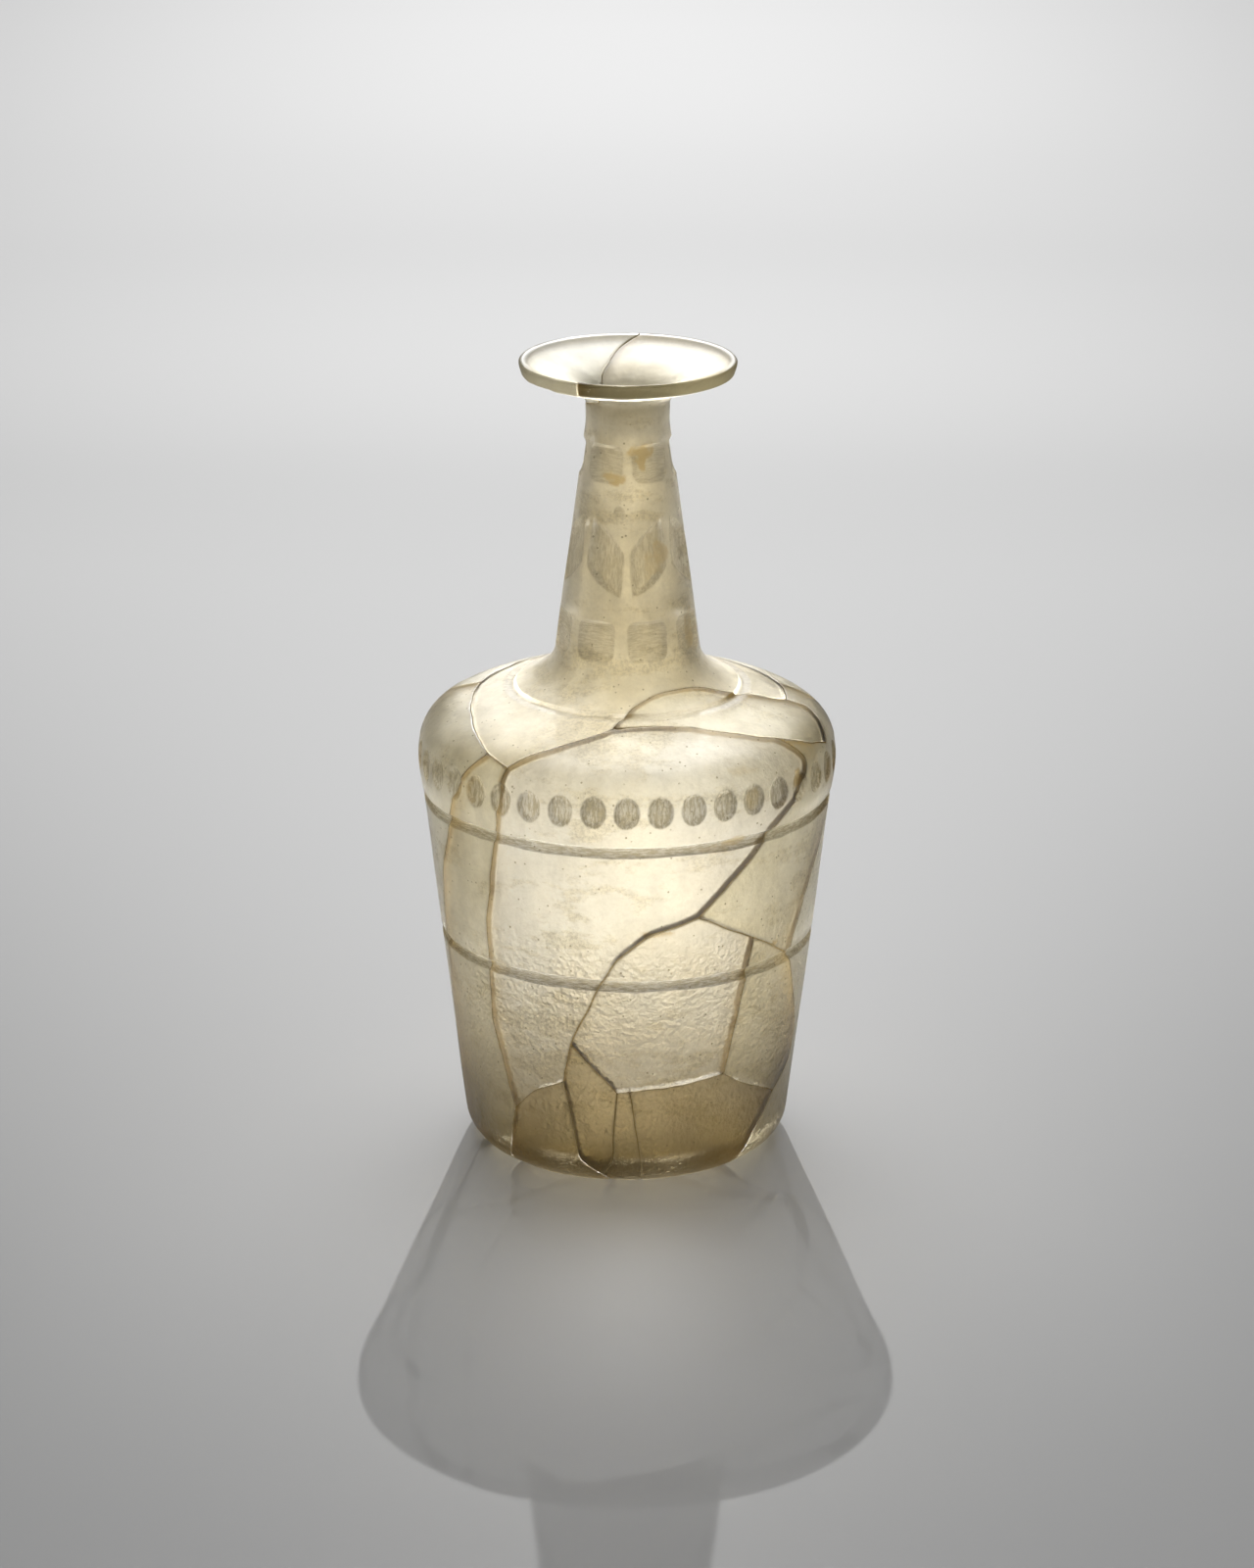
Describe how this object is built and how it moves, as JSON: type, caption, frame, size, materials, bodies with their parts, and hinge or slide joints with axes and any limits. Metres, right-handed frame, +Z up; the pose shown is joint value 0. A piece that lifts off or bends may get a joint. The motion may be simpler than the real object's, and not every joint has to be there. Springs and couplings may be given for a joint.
{
  "type": "glass bottle",
  "caption": "Wheel-cut glass bottle with a flaring rim, faceted tapering neck and wide cut body, rebuilt from its sherds.",
  "frame": {"origin": "middle of the flat ring that the bottle stands on", "axes": "+Z up along the bottle's axis from the base to the mouth; -Y is the front, the side in the picture"},
  "size_m": [0.0944, 0.0944, 0.183],
  "materials": {
    "neck_glass": "weathered translucent glass, pitted and softly cloudy",
    "clear_glass": "weathered translucent glass with faint brown bloom",
    "pale_glass": "weathered translucent glass, paler and cloudier",
    "base_glass": "thick translucent glass, brown where it is deepest"
  },
  "bodies": {
    "root": {"neck": "neck_glass", "rim_left": "pale_glass", "shoulder_front_right": "pale_glass", "wall_front": "pale_glass", "wall_upper_right": "clear_glass", "wall_left_strip": "clear_glass", "wall_left": "clear_glass", "wall_right": "clear_glass", "wall_lower_front": "pale_glass", "wall_lower_right": "clear_glass", "heel_left": "base_glass", "heel_wedge": "base_glass", "heel_sliver": "base_glass", "heel_right": "base_glass", "wall_back_upper": "clear_glass", "wall_back_left": "clear_glass", "wall_back_right": "clear_glass", "floor": "base_glass"}
  },
  "joints": []
}
